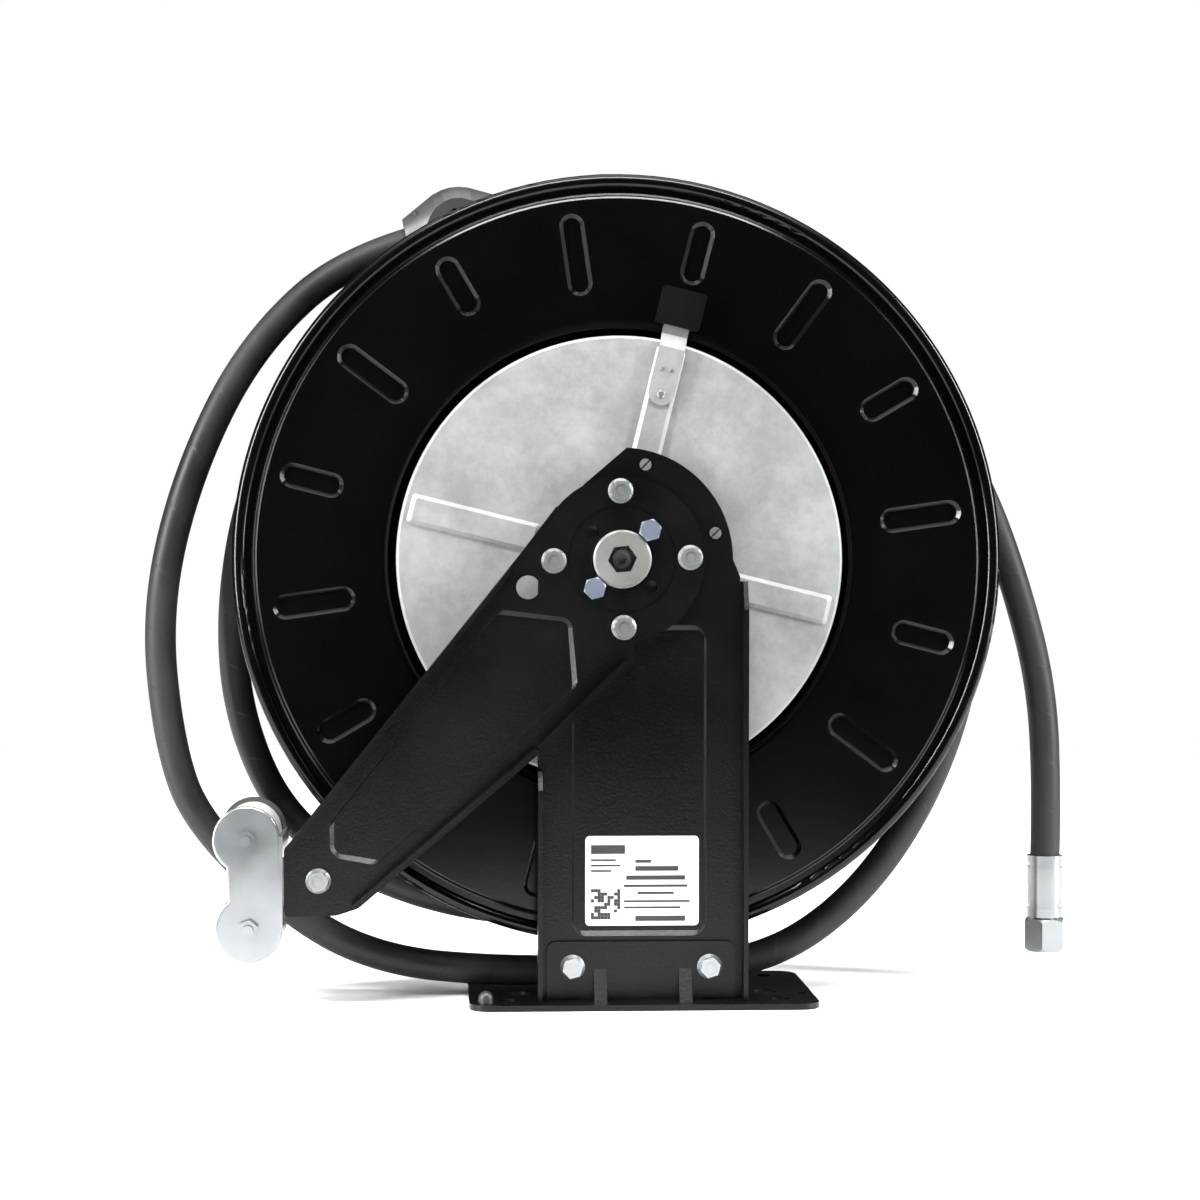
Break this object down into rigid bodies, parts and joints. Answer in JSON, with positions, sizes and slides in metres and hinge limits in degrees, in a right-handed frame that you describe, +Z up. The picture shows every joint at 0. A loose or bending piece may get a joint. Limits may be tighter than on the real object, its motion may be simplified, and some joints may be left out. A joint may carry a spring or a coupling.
{
  "type": "hose reel",
  "caption": "Spring rewind hose reel with a pressed drum, pedestal base, side arm with a roller hose guide, wound hose, hose stop and swivel nut end.",
  "frame": {"origin": "middle of the base plate's bolt pattern, on its underside", "axes": "+Z up; -Y the front, where the pedestal, arm and cover face; the drum's axis runs along Y"},
  "size_m": [0.5318, 0.148, 0.46],
  "materials": {
    "black_frame": "fine textured powder coat",
    "black_drum": "satin powder coat",
    "galvanised": "galvanised, matt spangle",
    "zinc": "bright zinc plate",
    "zinc_blue": "blue zinc plate",
    "steel": "turned steel",
    "spring_steel": "blued spring steel",
    "bronze": "sintered bronze",
    "nylon": "natural nylon",
    "hose_rubber": "wrapped cover, matt",
    "black_rubber": "smooth rubber",
    "stop_plastic": "moulded, matt",
    "label": "printed film, silver ground"
  },
  "bodies": {
    "frame": {"base_plate": "black_frame", "base_stud": "black_rubber", "pedestal": "black_frame", "guide_arm": "black_frame", "head_spacer": "black_frame", "rating_label": "label", "base_bolts": "zinc", "base_nuts": "zinc", "head_bolts": "zinc", "axle_bolts": "zinc_blue", "axle": "steel", "axle_collar": "steel", "axle_screw": "steel", "spring_arbor": "steel", "circlip": "spring_steel", "thrust_washer": "steel", "pawl_pin": "zinc", "spring_pin": "zinc", "pawl_spring": "zinc", "guide_bracket": "zinc", "guide_axles": "zinc", "guide_nuts": "zinc", "guide_bolt": "zinc", "guide_bolt_nut": "zinc", "free_hose": "hose_rubber", "hose_stop_front": "stop_plastic", "hose_stop_rear": "stop_plastic", "hose_stop_screws": "zinc", "hose_ferrule": "zinc", "hose_stem": "steel"},
    "drum": {"front_flange": "black_drum", "rear_flange": "black_drum", "drum_core": "black_drum", "cover_disc": "galvanised", "spring_case": "galvanised", "power_spring": "spring_steel", "retaining_strip": "galvanised", "strip_pad": "black_rubber", "strip_rivets": "zinc", "ratchet_wheel": "steel", "ratchet_rivets": "steel", "bush_front": "bronze", "bush_rear": "bronze", "drum_web": "black_drum", "drum_hub": "steel", "hub_bolts": "zinc", "swivel_body": "zinc", "swivel_seals": "black_rubber", "feed_pipe": "zinc", "inner_fitting": "zinc", "hose_coil": "hose_rubber"},
    "pawl": {"pawl": "steel"},
    "roller_upper": {"roller_upper": "nylon"},
    "roller_lower": {"roller_lower": "nylon"},
    "swivel_nut": {"swivel_nut": "zinc"}
  },
  "joints": [
    {"name": "drum_spin", "type": "hinge", "parent": "frame", "child": "drum", "pos_m": [-0.0125, 0, 0.245], "axis": [0, 1, 0], "range_deg": [0, 3480], "stiffness_Nm_per_rad": 0.15},
    {"name": "pawl_swing", "type": "hinge", "parent": "frame", "child": "pawl", "pos_m": [0.00047, 0, 0.29701], "axis": [0, -1, 0], "range_deg": [0, 50], "stiffness_Nm_per_rad": 0.02},
    {"name": "roller_upper_spin", "type": "hinge", "parent": "frame", "child": "roller_upper", "pos_m": [-0.2172, 0, 0.0918], "axis": [0, 1, 0], "continuous": true},
    {"name": "roller_lower_spin", "type": "hinge", "parent": "frame", "child": "roller_lower", "pos_m": [-0.216, 0, 0.0434], "axis": [0, 1, 0], "continuous": true},
    {"name": "nut_spin", "type": "hinge", "parent": "frame", "child": "swivel_nut", "pos_m": [0.2421, 0.046, 0.03], "axis": [0, 0, 1], "continuous": true}
  ]
}
